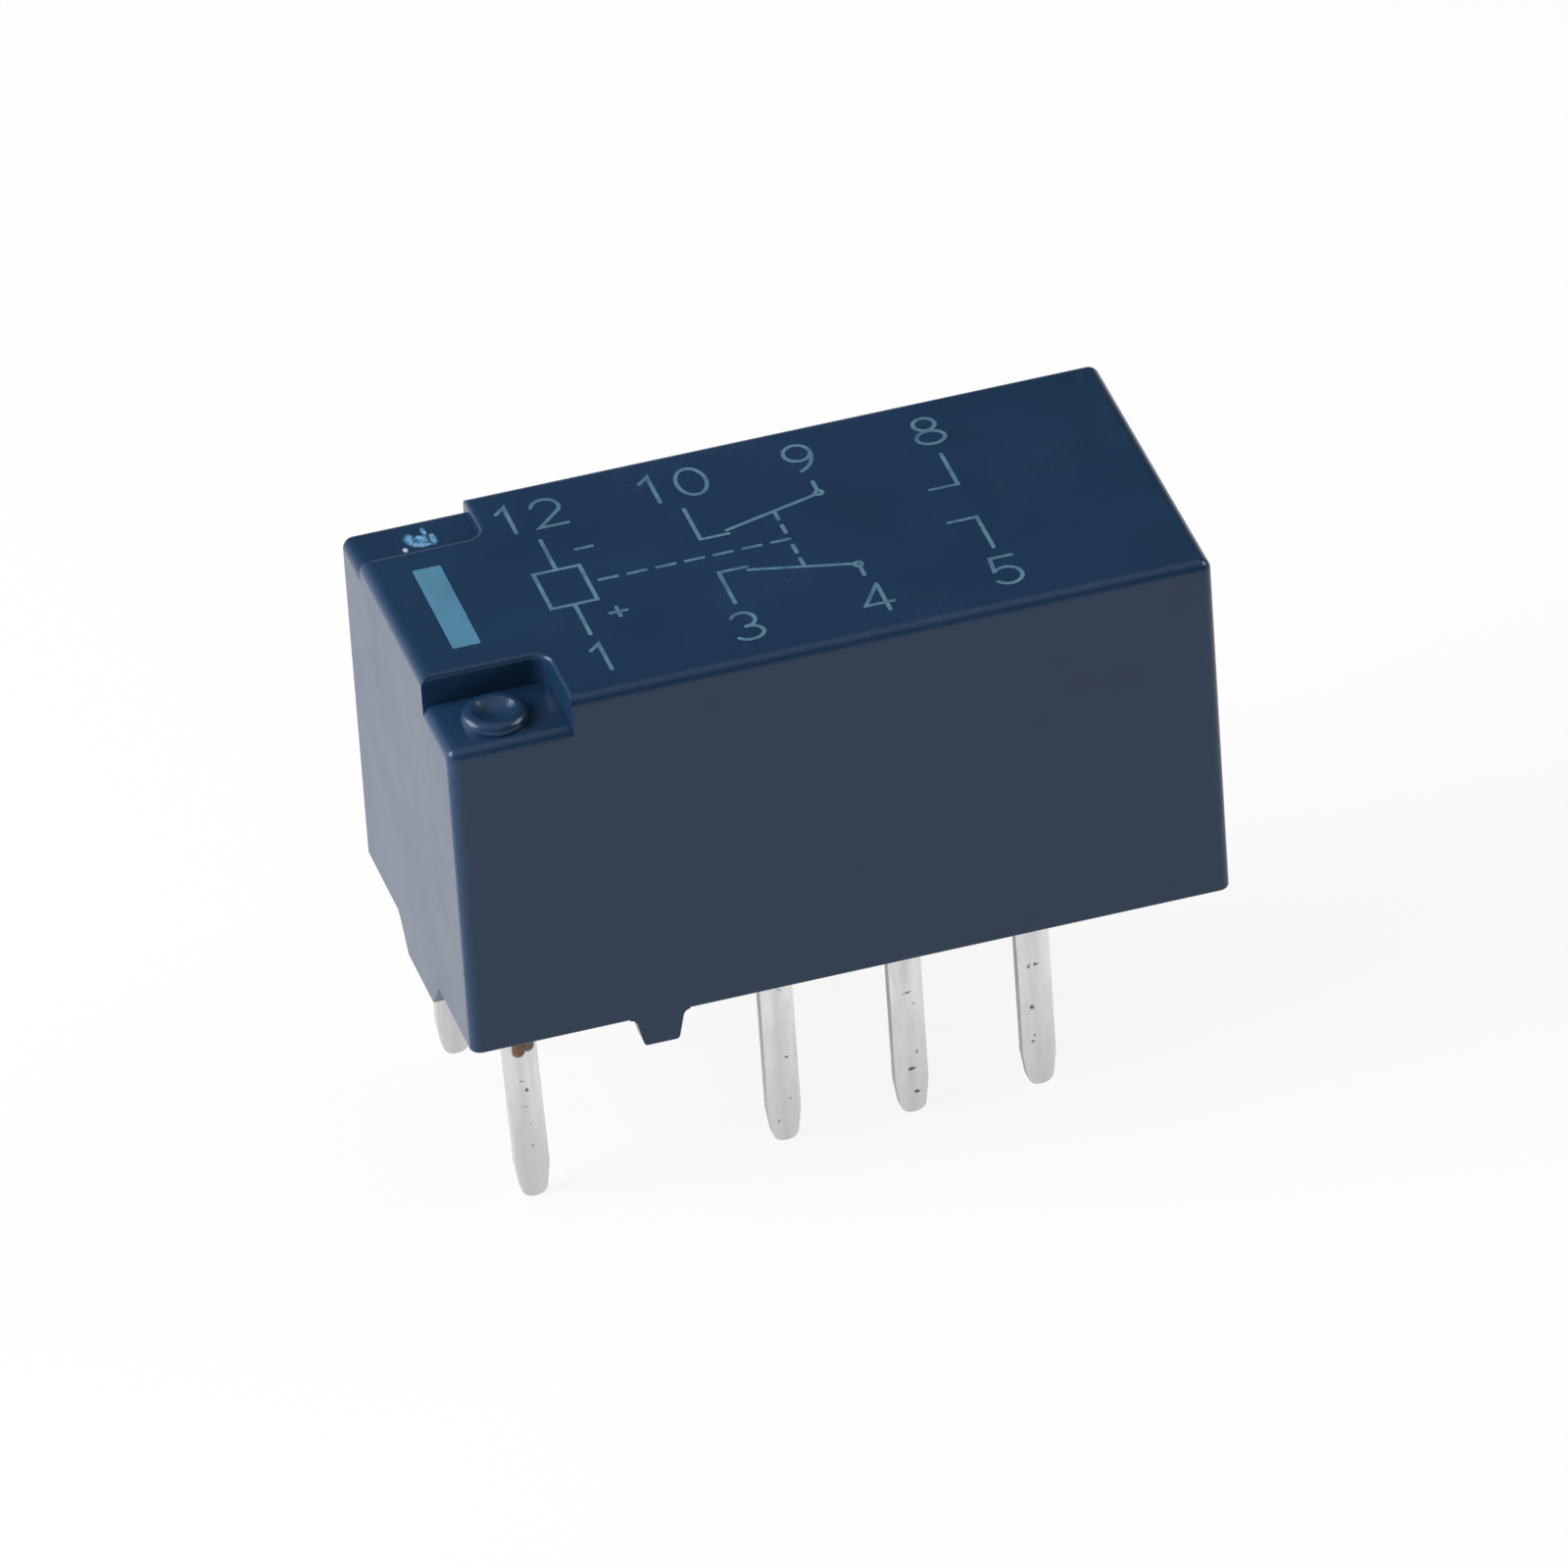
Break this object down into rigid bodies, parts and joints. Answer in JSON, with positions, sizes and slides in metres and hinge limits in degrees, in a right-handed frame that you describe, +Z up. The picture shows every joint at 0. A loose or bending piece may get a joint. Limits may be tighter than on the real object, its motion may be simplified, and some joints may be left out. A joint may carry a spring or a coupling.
{
  "type": "signal relay",
  "caption": "Sealed board-mounted signal relay: slim dark blue case with corner notches, vent nub and feet, flat tinned terminals, and a balanced armature with twin-tip springs.",
  "frame": {"origin": "centre of the part's footprint, at the level of the terminal tips", "axes": "+X along the case away from the marked end, +Y across the case from the front row of terminals to the rear row, +Z up from the terminal tips to the roof"},
  "size_m": [0.015, 0.0074, 0.0117],
  "materials": {
    "case_plastic": "satin moulded",
    "sealing_resin": "cast resin",
    "base_plastic": "moulded",
    "tinned_copper": "tinned",
    "contact_silver": "polished",
    "soft_iron": "nickel plated",
    "magnet_steel": "ground",
    "bobbin_plastic": "moulded",
    "enamelled_copper": "enamelled wire",
    "spring_copper": "rolled strip",
    "armature_plastic": "moulded"
  },
  "bodies": {
    "relay_body": {"case": "case_plastic", "sealing_resin": "sealing_resin", "base": "base_plastic", "coil_terminal_1": "tinned_copper", "coil_terminal_12": "tinned_copper", "fixed_terminal_3": "tinned_copper", "fixed_terminal_5": "tinned_copper", "fixed_terminal_8": "tinned_copper", "fixed_terminal_10": "tinned_copper", "common_terminal_4": "tinned_copper", "common_terminal_9": "tinned_copper", "fixed_contact_3": "contact_silver", "fixed_contact_5": "contact_silver", "fixed_contact_8": "contact_silver", "fixed_contact_10": "contact_silver", "core": "soft_iron", "bobbin": "bobbin_plastic", "coil_winding": "enamelled_copper", "lead_wire_1": "enamelled_copper", "lead_wire_12": "enamelled_copper", "magnet": "magnet_steel"},
    "armature_set": {"armature": "soft_iron", "armature_moulding": "armature_plastic", "contact_spring_front": "spring_copper", "contact_spring_rear": "spring_copper", "moving_contacts_3": "contact_silver", "moving_contacts_5": "contact_silver", "moving_contacts_8": "contact_silver", "moving_contacts_10": "contact_silver"}
  },
  "joints": [
    {"name": "armature_swing", "type": "hinge", "parent": "relay_body", "child": "armature_set", "pos_m": [0.0006, 0, 0.00933], "axis": [0, 1, 0], "range_deg": [0, 4.2], "stiffness_Nm_per_rad": 0.004}
  ]
}
